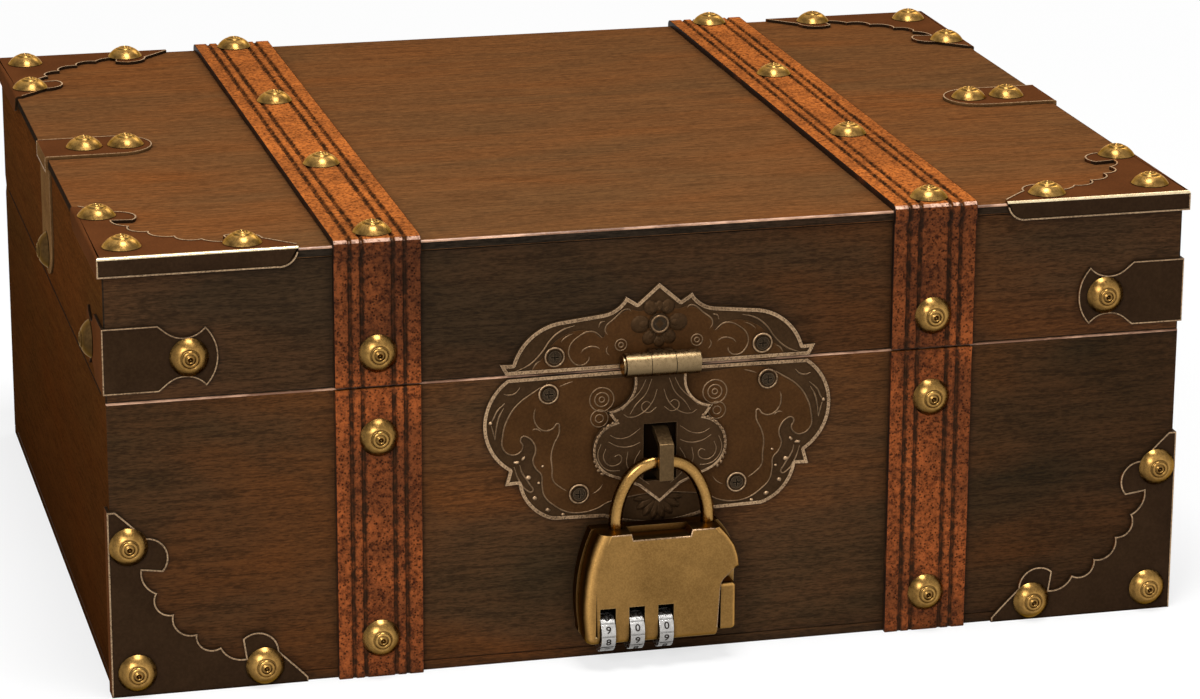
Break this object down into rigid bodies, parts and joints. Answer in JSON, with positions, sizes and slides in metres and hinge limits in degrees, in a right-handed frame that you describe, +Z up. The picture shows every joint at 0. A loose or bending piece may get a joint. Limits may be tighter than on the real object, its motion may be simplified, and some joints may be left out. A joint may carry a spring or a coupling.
{
  "type": "treasure chest box",
  "caption": "Low wooden keepsake chest with hinged lid, leather straps, pressed metal corners, hasp latch and combination padlock.",
  "frame": {"origin": "centre of the chest's underside, on the surface that it rests on", "axes": "+X to the right seen from the front, -Y out of the front with the latch, +Z up"},
  "size_m": [0.3284, 0.2697, 0.1354],
  "materials": {
    "board": "satin",
    "strap": "satin",
    "corner_metal": "satin",
    "tack": "satin",
    "latch": "satin",
    "barrel": "satin",
    "screw": "satin",
    "hinge": "satin",
    "padlock": "satin",
    "shackle": "gloss",
    "dial": "satin"
  },
  "bodies": {
    "base": {"bottom_board": "board", "base_front_board": "board", "base_back_board": "board", "base_left_board": "board", "base_right_board": "board", "base_front_strap_left": "strap", "base_back_strap_left": "strap", "base_front_strap_right": "strap", "base_back_strap_right": "strap", "base_corner_plate_front_left": "corner_metal", "base_corner_plate_front_right": "corner_metal", "hinge_base_leaf_left": "hinge", "hinge_pin_left": "hinge", "hinge_base_leaf_right": "hinge", "hinge_pin_right": "hinge", "base_tacks": "tack", "latch_base_plate": "latch", "latch_base_screws": "screw", "staple": "latch", "hinge_base_screws": "screw"},
    "lid": {"lid_top_board": "board", "lid_front_board": "board", "lid_back_board": "board", "lid_left_board": "board", "lid_right_board": "board", "lid_strap_left": "strap", "lid_strap_right": "strap", "lid_corner_plate_front_left": "corner_metal", "lid_corner_clip_front_left": "corner_metal", "lid_corner_plate_back_left": "corner_metal", "lid_corner_plate_front_right": "corner_metal", "lid_corner_clip_front_right": "corner_metal", "lid_corner_plate_back_right": "corner_metal", "lid_end_bracket_left": "corner_metal", "hinge_lid_leaf_left": "hinge", "lid_end_bracket_right": "corner_metal", "hinge_lid_leaf_right": "hinge", "lid_tacks": "tack", "latch_lid_plate": "latch", "latch_lid_screws": "screw", "latch_pin": "barrel", "hinge_lid_screws": "screw"},
    "hasp": {"hasp_flap": "latch"},
    "shackle": {"padlock_shackle": "shackle"},
    "padlock": {"padlock_front_shell": "padlock", "padlock_rear_shell": "padlock", "padlock_dial_spindle": "dial"},
    "release_slide": {"padlock_release_slide": "padlock"},
    "dial_left": {"padlock_dial_left": "dial"},
    "dial_middle": {"padlock_dial_middle": "dial"},
    "dial_right": {"padlock_dial_right": "dial"}
  },
  "joints": [
    {"name": "lid_hinge", "type": "hinge", "parent": "base", "child": "lid", "pos_m": [0, 0.1225, 0.088], "axis": [-1, 0, 0], "range_deg": [0, 98]},
    {"name": "hasp_hinge", "type": "hinge", "parent": "lid", "child": "hasp", "pos_m": [0, -0.1295, 0.09], "axis": [-1, 0, 0], "range_deg": [0, 175]},
    {"name": "padlock_swing", "type": "hinge", "parent": "base", "child": "shackle", "pos_m": [0, -0.1311, 0.0607], "axis": [-1, 0, 0], "range_deg": [0, 60]},
    {"name": "shackle_pull", "type": "slide", "parent": "shackle", "child": "padlock", "axis": [0, 0, -1], "range_m": [0, 0.0045]},
    {"name": "release_slide_travel", "type": "slide", "parent": "padlock", "child": "release_slide", "axis": [0, 0, -1], "range_m": [0, 0.002], "stiffness_N_per_m": 150, "springref_m": -0.001},
    {"name": "dial_left_turn", "type": "hinge", "parent": "padlock", "child": "dial_left", "pos_m": [-0.0178, -0.1332, 0.011], "axis": [1, 0, 0], "continuous": true},
    {"name": "dial_middle_turn", "type": "hinge", "parent": "padlock", "child": "dial_middle", "pos_m": [-0.0091, -0.1332, 0.011], "axis": [1, 0, 0], "continuous": true},
    {"name": "dial_right_turn", "type": "hinge", "parent": "padlock", "child": "dial_right", "pos_m": [-0.0004, -0.1332, 0.011], "axis": [1, 0, 0], "continuous": true}
  ]
}
